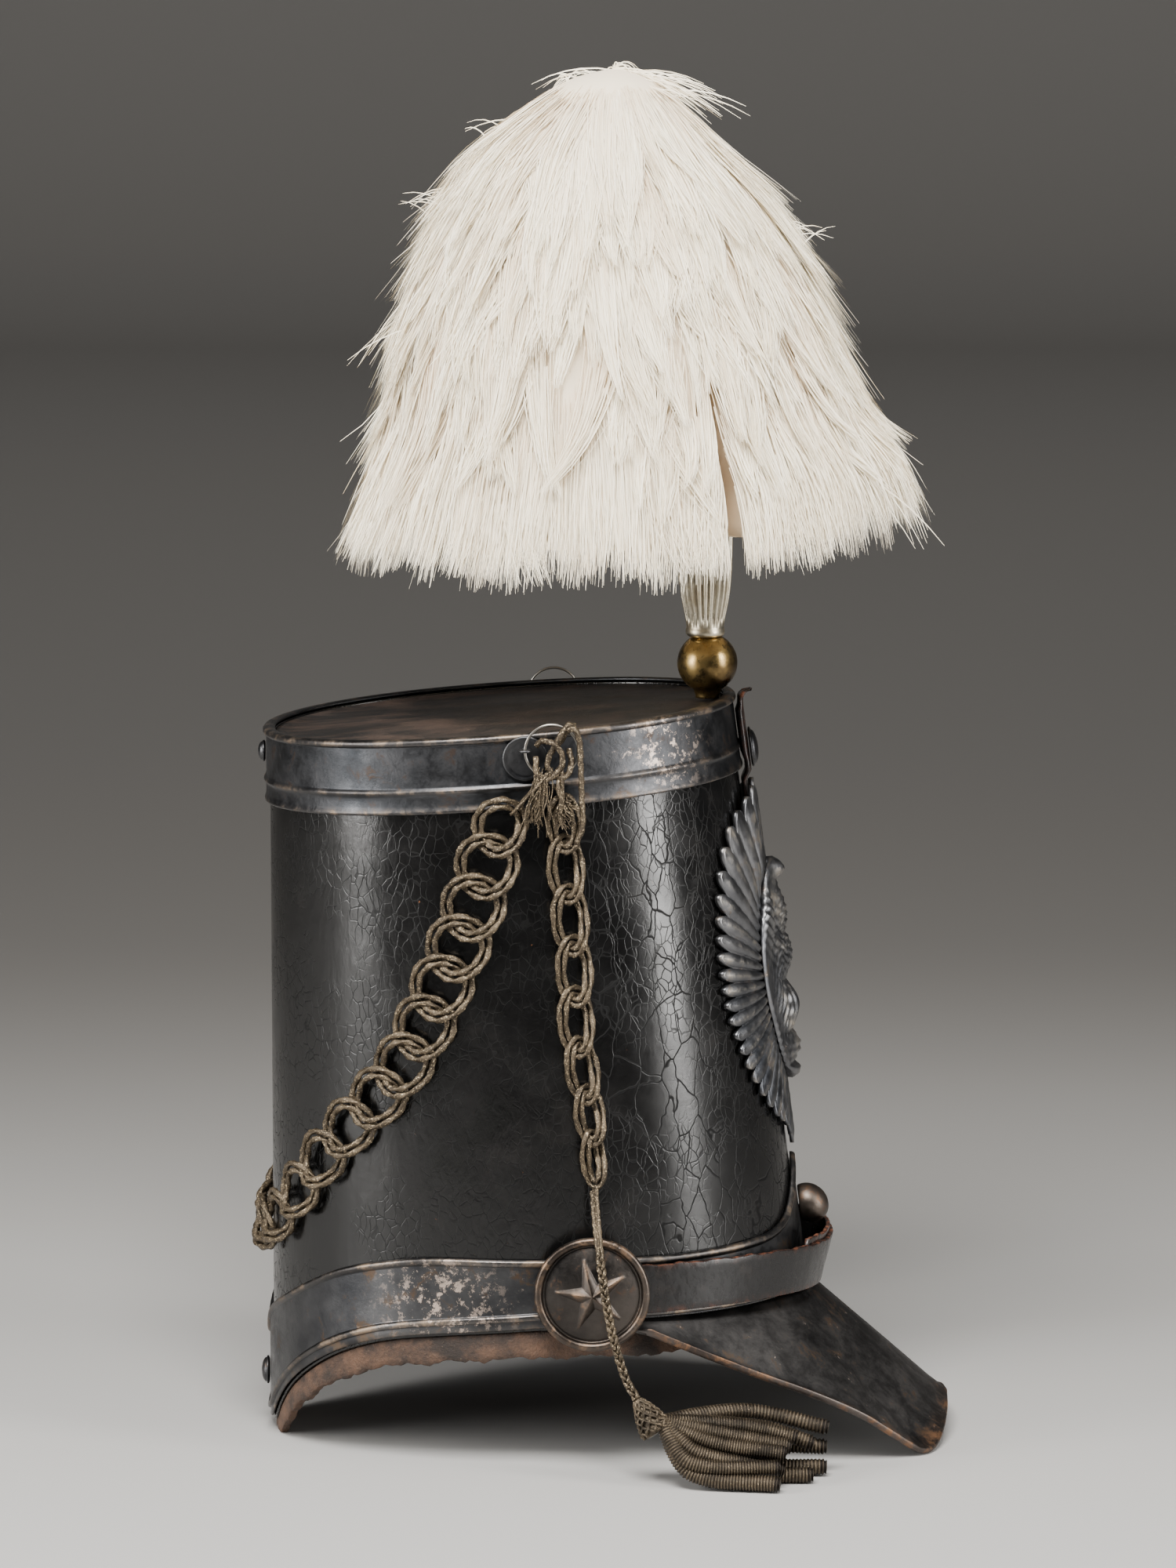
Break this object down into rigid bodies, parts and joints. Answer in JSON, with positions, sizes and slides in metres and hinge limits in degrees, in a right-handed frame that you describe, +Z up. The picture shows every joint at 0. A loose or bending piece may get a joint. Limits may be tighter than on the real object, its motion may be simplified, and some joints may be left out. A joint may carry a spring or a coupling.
{
  "type": "shako with plume, cap line and tassel",
  "caption": "Tall leather shako with metal bands, rayed front plate, sloping peak, feather plume and a plaited cap line that ends in a tassel.",
  "frame": {"origin": "middle of the whole hat's length and width, on the surface that it rests on", "axes": "+X to the wearer's front, where the peak is; +Y to the wearer's left; +Z up"},
  "size_m": [0.2741, 0.2133, 0.531],
  "materials": {
    "black_leather": "japanned, crazed",
    "crown_leather": "worn",
    "brown_leather": "rough",
    "tarnished_silver": "tarnished",
    "ball_brass": "patinated",
    "socket_silver": "satin",
    "ring_steel": "dull",
    "bullion_cord": "tarnished metal thread",
    "white_feather": "matt"
  },
  "bodies": {
    "root": {"shell": "black_leather", "crown_top": "crown_leather", "crown_band": "tarnished_silver", "base_band": "tarnished_silver", "sweat_leather": "brown_leather", "peak": "tarnished_silver", "chin_strap": "black_leather", "rosette_right": "tarnished_silver", "rosette_left": "tarnished_silver", "frontlet_stud": "tarnished_silver", "front_tab": "black_leather", "front_button": "tarnished_silver", "back_button_top": "tarnished_silver", "back_button_low": "tarnished_silver", "plate_rays": "tarnished_silver", "plate_relief": "tarnished_silver", "ring_right": "ring_steel", "ring_left": "ring_steel", "ring_button_right": "tarnished_silver", "ring_button_left": "tarnished_silver", "cord_drape": "bullion_cord", "cord_drop": "bullion_cord", "tassel_cord": "bullion_cord", "tassel": "bullion_cord", "plume_ball": "ball_brass", "plume_socket": "socket_silver", "plume": "white_feather"}
  },
  "joints": []
}
